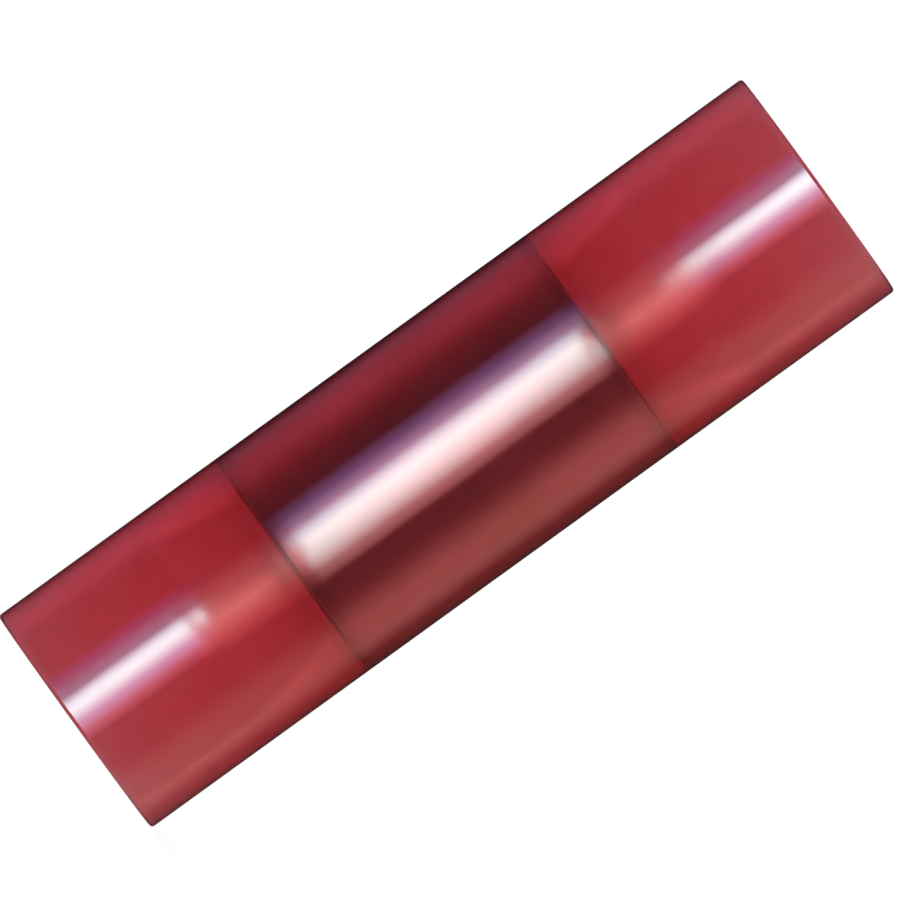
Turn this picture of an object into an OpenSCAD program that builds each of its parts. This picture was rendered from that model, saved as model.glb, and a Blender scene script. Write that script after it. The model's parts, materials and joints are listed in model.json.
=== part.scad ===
// Parallel splice connector for 0.5 to 1.5 mm2 wire: a plated crimp barrel held in a moulded nylon sleeve.
// The axis is Z. The connector stands on its lower end face, whose centre is the origin.

/* [Sleeve] */
// Length of the sleeve from end face to end face
sleeve_length = 20; // [18:0.5:26]
// Outer diameter of the sleeve
sleeve_d = 5.7; // [5.4:0.05:6.5]
// Wall around the straight wire entry at each end
entry_wall = 0.6; // [0.4:0.05:0.8]
// Length of the funnel that guides the strands from the entry to the barrel
funnel_length = 1.95; // [1.2:0.05:2.2]
// Diameter of the hole at the funnel's narrow end
lip_d = 3.7; // [3.4:0.05:3.9]
// Length of the straight lip between the funnel and the barrel's end
lip_length = 0.2; // [0.1:0.05:0.3]
// Rounding of the two outer edges
outer_edge_r = 0.08; // [0.04:0.01:0.2]
// Rounding of the two mouths
mouth_r = 0.2; // [0.05:0.05:0.2]
// Rounding where the entry turns into the funnel
funnel_blend_r = 0.8; // [0.2:0.1:1]
// Rounding where the funnel turns into the lip
lip_blend_r = 0.4; // [0.1:0.05:0.4]

/* [Barrel] */
// Length of the crimp barrel
barrel_length = 8.4; // [7:0.1:9.5]
// Outer diameter of the barrel
barrel_d = 4.2; // [3.9:0.05:4.4]
// Bore of the barrel, wide enough for two bared wires side by side
bore_d = 2.6; // [2.3:0.05:2.8]
// Rounding of the barrel's outer edges
barrel_edge_r = 0.12; // [0.06:0.02:0.2]
// Depth of the countersink at each end of the bore
countersink = 0.2; // [0.05:0.05:0.25]
// Number of serration grooves in each half of the bore
serrations = 3; // [1:1:3]
// Distance from one serration groove to the next
serration_pitch = 0.9; // [0.7:0.05:1]
// Width of a serration groove at the wall of the bore
serration_width = 0.4; // [0.2:0.05:0.5]
// Depth of a serration groove
serration_depth = 0.12; // [0.05:0.01:0.15]
// Width of the groove along the brazed seam
seam_width = 0.24; // [0.1:0.02:0.3]
// Depth of the groove along the brazed seam
seam_depth = 0.08; // [0.04:0.01:0.12]

/* [Hidden] */
$fn = 96;
// Straight steps in each rounded corner of a profile
arc_steps = 6;
// How far a cutting shape runs past the face that it cuts
cut_through = 0.1;

sleeve_r = sleeve_d / 2;
entry_r = sleeve_r - entry_wall;
lip_r = lip_d / 2;
barrel_r = barrel_d / 2;
bore_r = bore_d / 2;
barrel_bottom = (sleeve_length - barrel_length) / 2;
barrel_top = barrel_bottom + barrel_length;
funnel_top = barrel_bottom - lip_length;
entry_depth = funnel_top - funnel_length;
// The seat's corners are tighter than the barrel's edges, so that the barrel beds on the seat's flat ends
seat_corner_r = barrel_edge_r / 2;

function unit(v) = v / norm(v);

// The shorter way round from one angle to another
function turn(from, to) = (to - from + 540) % 360 - 180;

// The arc that rounds one corner of a profile, from the side before the corner to the side after it
function corner_arc(before, corner, after, r) =
    let (
        a = unit(before - corner),
        b = unit(after - corner),
        half = acos(a * b) / 2,
        centre = corner + unit(a + b) * r / sin(half),
        first = corner + a * r / tan(half) - centre,
        last = corner + b * r / tan(half) - centre,
        start = atan2(first.y, first.x),
        sweep = turn(start, atan2(last.y, last.x))
    )
    [for (i = [0:arc_steps]) let (t = start + sweep * i / arc_steps) centre + r * [cos(t), sin(t)]];

// A closed profile from corners [radius, height, rounding], where a rounding of 0 keeps the corner sharp
function rounded(corners) =
    let (n = len(corners), at = [for (c = corners) [c.x, c.y]])
    [
        for (i = [0:n - 1])
            for (p = corners[i].z == 0
                ? [at[i]]
                : corner_arc(at[(i + n - 1) % n], at[i], at[(i + 1) % n], corners[i].z))
                p
    ];

// The same corners in the other half of a part, in the order that carries the profile on round
function mirrored(corners) =
    [for (i = [len(corners) - 1:-1:0]) [corners[i].x, sleeve_length - corners[i].y, corners[i].z]];

// Moulded nylon sleeve: a wire entry and a funnel at each end, and between the funnels the barrel's seat
module insulating_sleeve() {
    lower_half = [
        [barrel_r, barrel_bottom, seat_corner_r],
        [lip_r, barrel_bottom, 0],
        [lip_r, funnel_top, lip_blend_r],
        [entry_r, entry_depth, funnel_blend_r],
        [entry_r, 0, mouth_r],
        [sleeve_r, 0, outer_edge_r],
    ];
    color([0.72, 0.12, 0.17, 0.6])
        rotate_extrude()
            polygon(rounded(concat(lower_half, mirrored(lower_half))));
}

// V-shaped section of one serration groove, centred on the height given
module serration_section(height) {
    half_width = serration_width / 2;
    translate([bore_r, height])
        polygon([
            [-cut_through, -half_width],
            [0, -half_width],
            [serration_depth, 0],
            [0, half_width],
            [-cut_through, half_width],
        ]);
}

// Section of the barrel's wall, with a countersink at each end and grooves that bite into the strands
module barrel_section() {
    lower_half = [
        [bore_r, barrel_bottom + countersink, 0],
        [bore_r + countersink, barrel_bottom, 0],
        [barrel_r, barrel_bottom, barrel_edge_r],
    ];
    difference() {
        polygon(rounded(concat(lower_half, mirrored(lower_half))));
        for (half = [-1, 1], i = [1:serrations])
            serration_section(sleeve_length / 2 + half * (i - 0.5) * serration_pitch);
    }
}

// Groove left on the outside where the two edges of the rolled strip are brazed together
module seam_groove() {
    translate([0, barrel_r, barrel_bottom - cut_through])
        linear_extrude(barrel_length + 2 * cut_through)
            polygon([[-seam_width, seam_depth], [seam_width, seam_depth], [0, -seam_depth]]);
}

// Tin-plated copper barrel, rolled from strip, with its seam on the +Y side and no stop in its bore
module crimp_barrel() {
    color([0.80, 0.79, 0.77])
        difference() {
            rotate_extrude() barrel_section();
            seam_groove();
        }
}

insulating_sleeve();
crimp_barrel();
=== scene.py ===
import json
import math

import bmesh
import bpy
from mathutils import Matrix, Vector


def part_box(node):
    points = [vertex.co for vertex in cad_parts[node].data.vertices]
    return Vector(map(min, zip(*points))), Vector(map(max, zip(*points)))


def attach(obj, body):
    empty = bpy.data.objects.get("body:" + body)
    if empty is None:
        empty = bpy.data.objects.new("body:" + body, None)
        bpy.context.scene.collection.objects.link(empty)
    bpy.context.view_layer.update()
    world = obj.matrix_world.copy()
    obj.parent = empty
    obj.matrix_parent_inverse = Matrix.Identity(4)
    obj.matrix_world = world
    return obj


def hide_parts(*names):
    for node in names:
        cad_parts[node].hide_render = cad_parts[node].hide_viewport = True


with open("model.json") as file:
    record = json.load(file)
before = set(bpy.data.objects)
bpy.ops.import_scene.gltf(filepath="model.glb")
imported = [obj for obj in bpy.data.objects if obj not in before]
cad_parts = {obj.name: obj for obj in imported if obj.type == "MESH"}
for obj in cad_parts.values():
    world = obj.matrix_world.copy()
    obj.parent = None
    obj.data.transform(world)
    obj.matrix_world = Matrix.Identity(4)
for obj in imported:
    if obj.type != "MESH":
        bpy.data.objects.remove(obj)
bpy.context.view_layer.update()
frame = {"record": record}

mm = 0.001

sleeveLow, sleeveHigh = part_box("insulating_sleeve")
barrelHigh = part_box("crimp_barrel")[1]
mounts = {m["name"]: m for m in frame["record"]["mounts"]}
middle = (sleeveLow.z + sleeveHigh.z) / 2      # height of the connector's middle, where both halves mirror
halfSleeve = sleeveHigh.z - middle
halfBarrel = barrelHigh.z - middle
sleeveRadius = sleeveHigh.x
barrelRadius = barrelHigh.x
entryRadius = mounts["lower_wire_entry"]["dims"]["r_mm"] * mm
boreRadius = mounts["conductor_bore"]["dims"]["r_mm"] * mm


# Modelling helpers

modelling = {
    "tolerance": 0.004 * mm,       # lengths that differ by less count as equal
    "roundSteps": 6,               # faces across each rounded edge
    "sharpAngle": 40,              # degrees: sharper edges stay creases
    "faceWeight": 80,              # over 50, a large face keeps its own shading beside a small one
}


def deselectAll():
    bpy.ops.object.select_all(action="DESELECT")


def editMode():
    bpy.ops.object.mode_set(mode="EDIT")


def objectMode():
    bpy.ops.object.mode_set(mode="OBJECT")


def pick(kind, test):
    # in edit mode, selects the edges or faces whose centre passes the test
    bpy.context.tool_settings.mesh_select_mode = [kind == k for k in ("VERT", "EDGE", "FACE")]
    bpy.ops.mesh.select_all(action="DESELECT")
    mesh = bmesh.from_edit_mesh(bpy.context.object.data)
    for part in {"EDGE": mesh.edges, "FACE": mesh.faces}[kind]:
        centre = sum((v.co for v in part.verts), Vector()) / len(part.verts)
        part.select_set(test(centre))
    bmesh.update_edit_mesh(bpy.context.object.data)


def near(a, b):
    return abs(a - b) < modelling["tolerance"]


def roundRing(radius, reach, offset):
    # bevels the two rings of edges with this radius, at this distance above and below the middle
    pick("EDGE", lambda p: near(math.hypot(p.x, p.y), radius) and near(abs(p.z - middle), reach))
    steps = modelling["roundSteps"]
    bpy.ops.mesh.bevel(offset=offset, offset_type="OFFSET", segments=steps, affect="EDGES")


def turnedBlank(name, radius, half, sides):
    # a round bar, centred on the middle, that a bore is then sunk into
    deselectAll()
    bpy.ops.mesh.primitive_cylinder_add(
        vertices=sides, radius=radius, depth=2 * half, end_fill_type="NGON", location=(0, 0, middle)
    )
    blank = bpy.context.object
    blank.name = blank.data.name = name
    bpy.ops.object.transform_apply(location=True, rotation=True, scale=True)
    return blank


def sinkBore(radius, half, steps):
    # sinks both end faces at once: each step is the next ring's radius and its distance from the middle
    pick("FACE", lambda p: near(abs(p.z - middle), half))
    bpy.ops.mesh.inset(thickness=radius - steps[0][0])
    lastRadius, lastReach = steps[0]
    for nextRadius, nextReach in steps[1:]:
        bpy.ops.mesh.extrude_region_move(TRANSFORM_OT_translate={"value": (0, 0, 0)})
        side, along = nextRadius / lastRadius, nextReach / lastReach
        bpy.ops.transform.resize(value=(side, side, along), center_override=(0, 0, middle))
        lastRadius, lastReach = nextRadius, nextReach
    bpy.ops.mesh.delete(type="FACE")
    pick("EDGE", lambda p: near(math.hypot(p.x, p.y), lastRadius) and near(abs(p.z - middle), lastReach))
    bpy.ops.mesh.bridge_edge_loops()


def applyModifier(piece, kind, **settings):
    modifier = piece.modifiers.new(kind.lower(), kind)
    for key, value in settings.items():
        setattr(modifier, key, value)
    bpy.ops.object.modifier_apply(modifier=modifier.name)


def finishPiece(piece, nodeName):
    editMode()
    bpy.ops.mesh.select_all(action="SELECT")
    bpy.ops.mesh.normals_make_consistent(inside=False)
    objectMode()
    bpy.ops.object.shade_smooth_by_angle(angle=math.radians(modelling["sharpAngle"]))
    applyModifier(piece, "WEIGHTED_NORMAL", keep_sharp=True, weight=modelling["faceWeight"])
    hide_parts(nodeName)
    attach(piece, "root")


# Sleeve

sleeve = {
    "sides": 256,
    "funnelLength": 1.95 * mm,
    "lipRadius": 1.85 * mm,
    "lipLength": 0.2 * mm,
    "outerEdge": 0.08 * mm,
    "mouthEdge": 0.2 * mm,
    "funnelBlend": 0.8 * mm,       # radius where the entry turns into the funnel
    "lipBlend": 0.4 * mm,          # radius where the funnel turns into the lip
    "contact": 0.01 * mm,          # the nylon bites this far into the barrel, so that no film of air shows
}


def makeSleeve():
    s = sleeve
    seatRadius = barrelRadius - s["contact"]
    seatHalf = halfBarrel - s["contact"]
    lipTop = halfBarrel + s["lipLength"]
    entryEnd = lipTop + s["funnelLength"]
    piece = turnedBlank("nylonSleeve", sleeveRadius, halfSleeve, s["sides"])
    editMode()
    sinkBore(sleeveRadius, halfSleeve, [
        (entryRadius, halfSleeve),
        (entryRadius, entryEnd),
        (s["lipRadius"], lipTop),
        (s["lipRadius"], seatHalf),
        (seatRadius, seatHalf),
    ])
    roundRing(sleeveRadius, halfSleeve, s["outerEdge"])
    roundRing(entryRadius, halfSleeve, s["mouthEdge"])
    halfTurn = math.atan2(entryRadius - s["lipRadius"], s["funnelLength"]) / 2
    roundRing(entryRadius, entryEnd, s["funnelBlend"] * math.tan(halfTurn))
    roundRing(s["lipRadius"], lipTop, s["lipBlend"] * math.tan(halfTurn))
    objectMode()
    finishPiece(piece, "insulating_sleeve")
    print("sleeve:", len(piece.data.polygons), "faces")
    return piece


# Barrel

barrel = {
    "sides": 256,
    "countersink": 0.2 * mm,
    "outerEdge": 0.12 * mm,
    "grooves": 3,                  # in each half of the bore
    "groovePitch": 0.9 * mm,
    "grooveWidth": 0.4 * mm,
    "grooveDepth": 0.12 * mm,
    "seamWidth": 0.24 * mm,
    "seamDepth": 0.08 * mm,
    "burr": 0.02 * mm,             # the tumbled edges of the grooves and countersinks
    "burrAngle": 28,               # degrees: flatter edges stay as they are
    "burrSteps": 2,                # faces across each tumbled edge
}


def cutSeam():
    # the brazed joint of the rolled strip: the outer wall's vertices on the +Y side sink into a shallow V
    half = barrel["seamWidth"] / 2
    wall = barrelRadius - barrel["outerEdge"] - modelling["tolerance"]
    mesh = bmesh.from_edit_mesh(bpy.context.object.data)
    for v in mesh.verts:
        if math.hypot(v.co.x, v.co.y) > wall and v.co.y > 0 and abs(v.co.x) < half:
            v.co.y -= barrel["seamDepth"] * (1 - abs(v.co.x) / half)
    bmesh.update_edit_mesh(bpy.context.object.data)


def makeBarrel():
    b = barrel
    steps = [
        (boreRadius + b["countersink"], halfBarrel),
        (boreRadius, halfBarrel - b["countersink"]),
    ]
    for i in reversed(range(b["grooves"])):
        centre = (i + 0.5) * b["groovePitch"]
        steps += [
            (boreRadius, centre + b["grooveWidth"] / 2),
            (boreRadius + b["grooveDepth"], centre),
            (boreRadius, centre - b["grooveWidth"] / 2),
        ]
    piece = turnedBlank("tinnedBarrel", barrelRadius, halfBarrel, b["sides"])
    editMode()
    sinkBore(barrelRadius, halfBarrel, steps)
    roundRing(barrelRadius, halfBarrel, b["outerEdge"])
    cutSeam()
    objectMode()
    applyModifier(piece, "BEVEL", width=b["burr"], segments=b["burrSteps"], limit_method="ANGLE",
                  angle_limit=math.radians(b["burrAngle"]))
    finishPiece(piece, "crimp_barrel")
    print("barrel:", len(piece.data.polygons), "faces")
    return piece


# Materials

def colour(hexColour):
    # sRGB hex to the linear colour that a shader socket takes
    parts = [int(hexColour[i:i + 2], 16) / 255 for i in (1, 3, 5)]
    return (*(c / 12.92 if c <= 0.04045 else ((c + 0.055) / 1.055) ** 2.4 for c in parts), 1)


def grey(level):
    return (level, level, level, 1)


def addNode(tree, kind, settings=None, links=None):
    # settings are the node's own options, its sockets' values and a ramp's (position, colour) stops, and
    # links feed its inputs, by name or number, from other nodes' outputs
    node = tree.nodes.new(kind)
    for key, value in (settings or {}).items():
        if key == "stops":
            marks = node.color_ramp.elements
            while len(marks) < len(value):
                marks.new(1)
            for mark, (where, tint) in zip(marks, value):
                mark.position, mark.color = where, tint
        elif key in node.inputs:
            node.inputs[key].default_value = value
        else:
            setattr(node, key, value)
    for key, source in (links or {}).items():
        tree.links.new(source, node.inputs[key])
    return node


def newMaterial(name):
    material = bpy.data.materials.new(name)
    material.use_nodes = True
    material.node_tree.nodes.clear()
    return material, material.node_tree


def paint(piece, material):
    piece.data.materials.clear()
    piece.data.materials.append(material)


nylon = {
    "body": "#f67c8c",
    "depth": "#f46a78",            # hue of the light that the body lets through
    "density": 620.0,              # per metre
    "ior": 1.53,
    "clear": 0.97,                 # share of light that isn't scattered at the surface
    "haze": 0.06,                  # roughness under the outer skin
    "gloss": 0.03,                 # roughness of the outer skin itself
    "skinDepth": 0.06 * mm,        # what lies less than this below the outer wall is glossy skin
    "mattDepth": 0.1 * mm,         # and what lies more than this below it is a matt wall
    "core": ("#ffdbe0", "#ffebee"),    # light that a matt wall scatters between its flow marks and in them
    "coreClear": 0.16,             # share of light that passes a matt wall without being scattered
    "flowSize": 0.7 * mm,
    "flowDetail": 3.0,
    "flowEdge": (0.35, 0.65),      # strengths at which a flow mark begins and is complete
    "waveSize": 1.1 * mm,          # faint sink marks in the skin
    "waveDetail": 1.0,
    "waveHeight": 0.004 * mm,
}


def mouldedNylon():
    # Nylon 6/6, injection moulded and dyed through: a smooth, glossy skin over a slightly hazy, clear red
    # body, and matt end faces, entries and funnels, shaped by blasted core pins, which scatter the light
    # that comes through
    n = nylon
    material, tree = newMaterial("mouldedNylon")
    coords = addNode(tree, "ShaderNodeTexCoord")
    flat = addNode(tree, "ShaderNodeMapping", {"Scale": (1, 1, 0)}, {"Vector": coords.outputs["Object"]})
    radius = addNode(tree, "ShaderNodeVectorMath", {"operation": "LENGTH"},
                     {"Vector": flat.outputs["Vector"]})
    outside = addNode(tree, "ShaderNodeMapRange", {
        "From Min": sleeveRadius - n["mattDepth"],
        "From Max": sleeveRadius - n["skinDepth"],
    }, {"Value": radius.outputs["Value"]})
    clear = addNode(tree, "ShaderNodeMapRange", {"To Min": n["coreClear"]},
                    {"Value": outside.outputs["Result"]})
    waves = addNode(tree, "ShaderNodeTexNoise", {
        "Scale": 1 / n["waveSize"],
        "Detail": n["waveDetail"],
    }, {"Vector": coords.outputs["Object"]})
    sinks = addNode(tree, "ShaderNodeBump", {"Distance": n["waveHeight"]},
                    {"Height": waves.outputs["Fac"]})
    skin = addNode(tree, "ShaderNodeBsdfPrincipled", {
        "Base Color": colour(n["body"]),
        "Roughness": n["haze"],
        "IOR": n["ior"],
        "Transmission Weight": n["clear"],
        "Coat Roughness": n["gloss"],
    }, {
        "Coat Weight": outside.outputs["Result"],
        "Normal": sinks.outputs["Normal"],
        "Coat Normal": sinks.outputs["Normal"],
    })
    flow = addNode(tree, "ShaderNodeTexNoise", {
        "Scale": 1 / n["flowSize"],
        "Detail": n["flowDetail"],
    }, {"Vector": coords.outputs["Object"]})
    drift = addNode(tree, "ShaderNodeValToRGB", {
        "stops": [(where, colour(tint)) for where, tint in zip(n["flowEdge"], n["core"])],
    }, {"Fac": flow.outputs["Fac"]})
    core = addNode(tree, "ShaderNodeBsdfTranslucent", None, {"Color": drift.outputs["Color"]})
    surface = addNode(tree, "ShaderNodeMixShader", None, {
        "Fac": clear.outputs["Result"],
        1: core.outputs["BSDF"],
        2: skin.outputs["BSDF"],
    })
    depth = addNode(tree, "ShaderNodeVolumeAbsorption", {
        "Color": colour(n["depth"]),
        "Density": n["density"],
    })
    addNode(tree, "ShaderNodeOutputMaterial", None, {
        "Surface": surface.outputs["Shader"],
        "Volume": depth.outputs["Volume"],
    })
    return material


tin = {
    "colour": ("#b5b2af", "#aca597"),      # bright tin, and where it has yellowed a little
    "stainSize": 1.8 * mm,
    "stainDetail": 2.0,
    "stainEdge": (0.4, 0.65),      # strengths at which a stain begins and is complete
    "endShadeReach": 0.45 * mm,          # how far in from its ends the colour is darkened, as painted shade
    "endShadeShare": 0.8,                   # share of the colour left at the ends: painted shade, darker where the highlight falls off
    "roughness": 0.36,
    "wear": 0.06,                  # how far the rolling marks raise and lower it
    "streakLength": 3.0 * mm,      # rolling marks along the strip
    "streakWidth": 0.05 * mm,      # drawn coarser than real ones, so that they show
    "streakDetail": 2.0,
    "streakHeight": 0.004 * mm,
    "streakRelief": 0.25,          # how strongly that height shades the metal
}


def rolledTin():
    # Copper strip, rolled and tin plated: a pale satin metal with fine rolling marks along the barrel,
    # faint yellow stains, and painted shade that darkens the colour towards the barrel's ends
    t = tin
    material, tree = newMaterial("tinPlatedCopper")
    coords = addNode(tree, "ShaderNodeTexCoord")
    stretch = addNode(tree, "ShaderNodeMapping", {
        "Scale": (1 / t["streakWidth"], 1 / t["streakWidth"], 1 / t["streakLength"]),
    }, {"Vector": coords.outputs["Object"]})
    streaks = addNode(tree, "ShaderNodeTexNoise", {
        "Scale": 1.0,
        "Detail": t["streakDetail"],
    }, {"Vector": stretch.outputs["Vector"]})
    wear = addNode(tree, "ShaderNodeMapRange", {
        "To Min": t["roughness"] - t["wear"],
        "To Max": t["roughness"] + t["wear"],
    }, {"Value": streaks.outputs["Fac"]})
    bump = addNode(tree, "ShaderNodeBump", {
        "Strength": t["streakRelief"],
        "Distance": t["streakHeight"],
    }, {"Height": streaks.outputs["Fac"]})
    stains = addNode(tree, "ShaderNodeTexNoise", {
        "Scale": 1 / t["stainSize"],
        "Detail": t["stainDetail"],
    }, {"Vector": coords.outputs["Object"]})
    tint = addNode(tree, "ShaderNodeValToRGB", {
        "stops": [(where, colour(shade)) for where, shade in zip(t["stainEdge"], t["colour"])],
    }, {"Fac": stains.outputs["Fac"]})
    centred = addNode(tree, "ShaderNodeMapping", {"Location": (0, 0, -middle)},
                      {"Vector": coords.outputs["Object"]})
    split = addNode(tree, "ShaderNodeSeparateXYZ", None, {"Vector": centred.outputs["Vector"]})
    reach = addNode(tree, "ShaderNodeMath", {"operation": "ABSOLUTE"}, {"Value": split.outputs["Z"]})
    # painted shade: the colour is darkened towards the barrel's ends
    level = addNode(tree, "ShaderNodeMapRange", {
        "From Min": halfBarrel - t["endShadeReach"],
        "From Max": halfBarrel - barrel["outerEdge"],
        "To Min": 1.0,
        "To Max": t["endShadeShare"],
    }, {"Value": reach.outputs["Value"]})
    endShadedColour = addNode(tree, "ShaderNodeVectorMath", {"operation": "SCALE"}, {
        "Vector": tint.outputs["Color"],
        "Scale": level.outputs["Result"],
    })
    metal = addNode(tree, "ShaderNodeBsdfPrincipled", {"Metallic": 1.0}, {
        "Base Color": endShadedColour.outputs["Vector"],
        "Roughness": wear.outputs["Result"],
        "Normal": bump.outputs["Normal"],
    })
    addNode(tree, "ShaderNodeOutputMaterial", None, {"Surface": metal.outputs["BSDF"]})
    return material


# Camera

view = {
    "framePixels": 900,
    "objectPixels": 917,           # length of the connector in the photograph
    "centre": (446.6, 453.3),      # pixel of the connector's middle
    "lean": 35.86,                 # degrees of its axis above the horizontal, towards the upper right
    "distance": 700 * mm,
    "sensor": 36.0,                # width in mm
    "nearest": 1 * mm,             # what the camera sees starts and ends at these distances
    "farthest": 5000 * mm,
}


def makeCamera():
    v = view
    pixel = 2 * halfSleeve / v["objectPixels"]
    data = bpy.data.cameras.new("camera")
    data.sensor_width = v["sensor"]
    data.lens = v["sensor"] * v["distance"] / (pixel * v["framePixels"])
    data.clip_start = v["nearest"]
    data.clip_end = v["farthest"]
    camera = bpy.data.objects.new("camera", data)
    bpy.context.scene.collection.objects.link(camera)
    lean = math.radians(v["lean"])
    right = Vector((math.sin(lean), 0, math.cos(lean)))
    up = Vector((-math.cos(lean), 0, math.sin(lean)))
    back = Vector((0, -1, 0))
    half = v["framePixels"] / 2
    shiftRight, shiftDown = half - v["centre"][0], half - v["centre"][1]
    aim = Vector((0, 0, middle)) + right * shiftRight * pixel - up * shiftDown * pixel
    turned = Matrix((right, up, back)).transposed().to_4x4()
    turned.translation = aim + back * v["distance"]
    camera.matrix_world = turned
    bpy.context.scene.camera = camera


# Light, world and floor

lampDistance = 40 * mm     # from the connector's axis
# colours across a softbox, from its -X side to its +X side
barrelShine = ((0.0, "#000000"), (0.18, "#403a61"), (0.32, "#706e8b"), (0.42, "#a8d0da"), (0.5, "#c0efea"),
               (0.62, "#a0cdcc"), (0.82, "#74605e"), (0.93, "#60403c"), (1.0, "#000000"))
endShine = ((0.0, "#000000"), (0.17, "#142850"), (0.37, "#2c6a82"), (0.47, "#c8ecf8"), (0.54, "#dcfbff"),
            (0.7, "#988cae"), (0.85, "#7a4858"), (1.0, "#000000"))
cardShine = ((0.0, "#000000"), (0.35, "#845452"), (0.55, "#dc8a80"), (0.8, "#a04646"), (1.0, "#000000"))
# levels along a softbox, from its lower edge to its upper edge
barrelFade = ((0.0, 0), (0.04, 1), (0.96, 1), (1.0, 0))
upperFade = ((0.0, 0), (0.08, 0.12), (0.16, 0.55), (0.34, 0.85), (0.6, 1))
lowerFade = ((0.825, 1), (0.87, 0.15), (0.92, 0))
cardFade = ((0.0, 0.2), (0.3, 1), (0.7, 1), (1.0, 0.2))
# each softbox: degrees from the camera towards -X, height above the middle, width and height in mm,
# radiance, colours and levels
lamps = {
    "barrelBox": (9, 0.05, 62, 8.72, 11.8, barrelShine, barrelFade),
    "upperBox": (10, 9.4, 47, 7, 12, endShine, upperFade),
    "lowerBox": (12, -9.4, 52, 7, 11, endShine, lowerFade),
    "upperCard": (3, 5.8, 50, 3, 5.5, cardShine, cardFade),
    "lowerCard": (3, -5.8, 50, 3, 5.5, cardShine, cardFade),
}


def makeLamps():
    for name, (angle, height, width, tall, radiance, shine, fade) in lamps.items():
        data = bpy.data.lights.new(name, "AREA")
        data.shape = "RECTANGLE"
        data.size, data.size_y = width * mm, tall * mm
        data.energy = radiance * math.pi * data.size * data.size_y
        data.use_nodes = True
        tree = data.node_tree
        tree.nodes.clear()
        place = addNode(tree, "ShaderNodeNewGeometry")
        split = addNode(tree, "ShaderNodeSeparateXYZ", None, {"Vector": place.outputs["Parametric"]})
        across = addNode(tree, "ShaderNodeValToRGB", {
            "stops": [(where, colour(tint)) for where, tint in shine],
        }, {"Fac": split.outputs["X"]})
        along = addNode(tree, "ShaderNodeValToRGB", {
            "stops": [(where, grey(level)) for where, level in fade],
        }, {"Fac": split.outputs["Y"]})
        glow = addNode(tree, "ShaderNodeEmission", None, {
            "Color": across.outputs["Color"],
            "Strength": along.outputs["Color"],
        })
        addNode(tree, "ShaderNodeOutputLight", None, {"Surface": glow.outputs["Emission"]})
        lamp = bpy.data.objects.new(name, data)
        bpy.context.scene.collection.objects.link(lamp)
        turn = math.radians(angle)
        away = Vector((-math.sin(turn), -math.cos(turn), 0))
        lamp.location = Vector((0, 0, middle + height * mm)) + away * lampDistance
        lamp.rotation_mode = "QUATERNION"
        lamp.rotation_quaternion = (-away).to_track_quat("-Z", "Y")
        lamp.visible_camera = False


studio = {
    # share of white by the way a ray points along Y, from -1 on the camera's side to 1 behind the
    # connector
    "mirrored": ((-0.4, 0.02), (0.0, 0.34), (0.5, 0.36), (0.8, 0.03)),
    "through": ((-0.6, 0.04), (-0.2, 0.3), (0.0, 0.4), (0.4, 1.0), (0.8, 1.0), (1.0, 0.5)),
    # and what tints it by the way the ray points along X
    "mirroredSides": ((-0.4, "#8c84a8"), (0.4, "#fff5e0")),
    "throughSides": ((-0.6, "#ffcbd3"), (0.6, "#fffff3")),
    "turn": 12,                    # degrees that the bright wall reaches further round on the +X side
    "behind": 1.12,                # strength of the light that comes through the nylon
    "ends": 2.0,                   # how much brighter it is from straight above and below
    "steep": (0.2, 0.8),           # how far a ray points along Z where that begins and is complete
    "plain": 0.4,                  # for matt surfaces, which the softboxes bring up to 1
}


def tintedWalls(tree, split, levels, sides):
    # the levels along Y times the tints along X
    factors = {}
    greys = [(where, grey(level)) for where, level in levels]
    tints = [(where, colour(tint)) for where, tint in sides]
    for number, (axis, stops) in enumerate((("Y", greys), ("X", tints))):
        # a ray points from -1 to 1 along an axis, and a ramp runs from 0 to 1
        share = addNode(tree, "ShaderNodeMapRange", {"From Min": -1.0, "From Max": 1.0},
                        {"Value": split.outputs[axis]})
        ramp = addNode(tree, "ShaderNodeValToRGB", {
            "stops": [((where + 1) / 2, shade) for where, shade in stops],
        }, {"Fac": share.outputs["Result"]})
        factors[number] = ramp.outputs["Color"]
    both = addNode(tree, "ShaderNodeVectorMath", {"operation": "MULTIPLY"}, factors)
    return both.outputs["Vector"]


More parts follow.
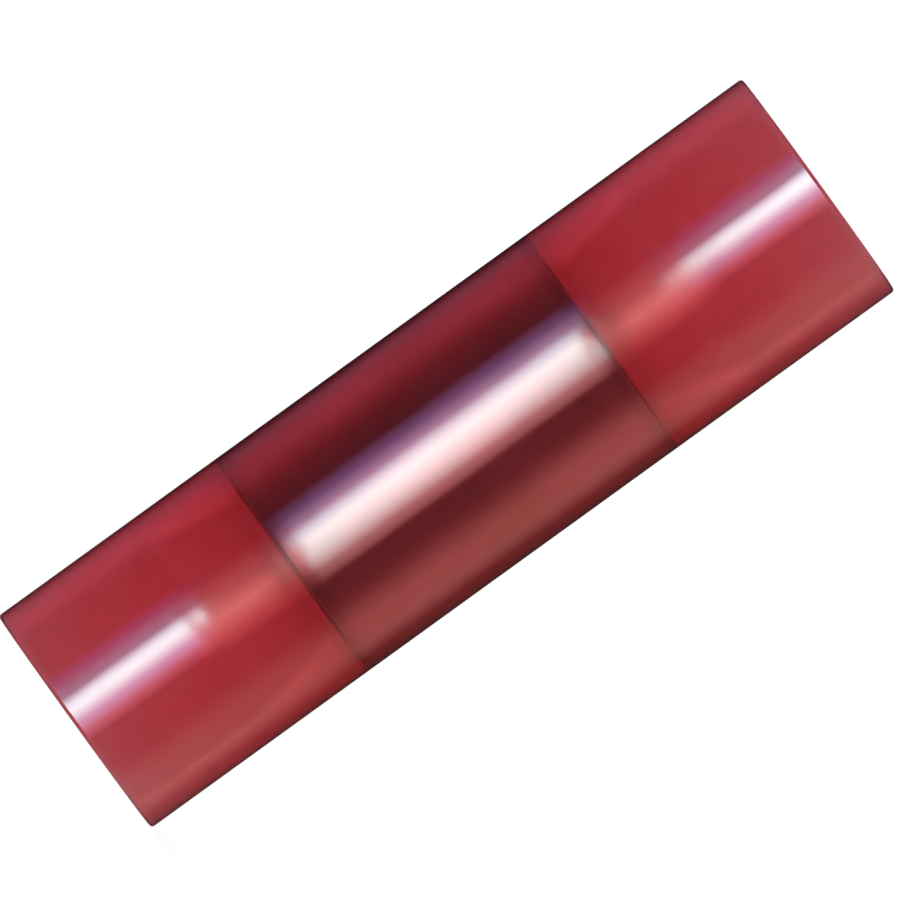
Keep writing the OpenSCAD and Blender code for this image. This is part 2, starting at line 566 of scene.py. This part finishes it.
def makeWorld():
    # a bright wall behind the connector and dark flags in front of it, as for glass. Only the camera sees
    # plain white
    world = bpy.data.worlds.new("whiteStudio")
    world.use_nodes = True
    tree = world.node_tree
    tree.nodes.clear()
    path = addNode(tree, "ShaderNodeLightPath")
    coords = addNode(tree, "ShaderNodeTexCoord")
    turned = addNode(tree, "ShaderNodeMapping", {"Rotation": (0, 0, math.radians(studio["turn"]))},
                     {"Vector": coords.outputs["Generated"]})
    split = addNode(tree, "ShaderNodeSeparateXYZ", None, {"Vector": turned.outputs["Vector"]})
    upright = addNode(tree, "ShaderNodeMath", {"operation": "ABSOLUTE"}, {"Value": split.outputs["Z"]})
    strength = addNode(tree, "ShaderNodeMapRange", {
        "From Min": studio["steep"][0],
        "From Max": studio["steep"][1],
        "To Min": studio["behind"],
        "To Max": studio["behind"] * studio["ends"],
    }, {"Value": upright.outputs["Value"]})
    mirrored = addNode(tree, "ShaderNodeBackground", None, {
        "Color": tintedWalls(tree, split, studio["mirrored"], studio["mirroredSides"]),
    })
    through = addNode(tree, "ShaderNodeBackground", None, {
        "Color": tintedWalls(tree, split, studio["through"], studio["throughSides"]),
        "Strength": strength.outputs["Result"],
    })
    plain = addNode(tree, "ShaderNodeBackground", {"Color": grey(1), "Strength": studio["plain"]})
    white = addNode(tree, "ShaderNodeBackground", {"Color": grey(1)})
    seen = mirrored.outputs["Background"]
    for ray, light in (("Transmission", through), ("Diffuse", plain), ("Camera", white)):
        mixed = addNode(tree, "ShaderNodeMixShader", None, {
            "Fac": path.outputs[f"Is {ray} Ray"],
            1: seen,
            2: light.outputs["Background"],
        })
        seen = mixed.outputs["Shader"]
    addNode(tree, "ShaderNodeOutputWorld", None, {"Surface": seen})
    bpy.context.scene.world = world


stageSet = {
    "floorSize": 1600 * mm,
    "paper": 0.8,                  # share of light that the floor throws back
}


def makeFloor():
    deselectAll()
    bpy.ops.mesh.primitive_plane_add(size=stageSet["floorSize"], location=(0, 0, sleeveLow.z))
    floor = bpy.context.object
    floor.name = "floor"
    material, tree = newMaterial("whitePaper")
    # the camera sees the paper lifted to white, less the connector's shadow
    share = stageSet["paper"]
    path = addNode(tree, "ShaderNodeLightPath")
    paper = addNode(tree, "ShaderNodeBsdfDiffuse", {"Color": grey(share)})
    lift = addNode(tree, "ShaderNodeMapRange", {"To Max": 1 - share * studio["plain"]},
                   {"Value": path.outputs["Is Camera Ray"]})
    glow = addNode(tree, "ShaderNodeEmission", {"Color": grey(1)}, {"Strength": lift.outputs["Result"]})
    both = addNode(tree, "ShaderNodeAddShader", None, {
        0: paper.outputs["BSDF"],
        1: glow.outputs["Emission"],
    })
    addNode(tree, "ShaderNodeOutputMaterial", None, {"Surface": both.outputs["Shader"]})
    paint(floor, material)
    floor.visible_glossy = False       # the lower softbox is mirrored right down to the end face
    floor.visible_transmission = False


print("frame: sleeve", round(2 * halfSleeve / mm, 2), "mm, barrel", round(2 * halfBarrel / mm, 2), "mm")
paint(makeSleeve(), mouldedNylon())
paint(makeBarrel(), rolledTin())
makeFloor()
makeWorld()
makeLamps()
makeCamera()
bpy.context.scene.view_settings.view_transform = "Standard"
print("stage: floor, world, lamps and camera")

deselectAll()
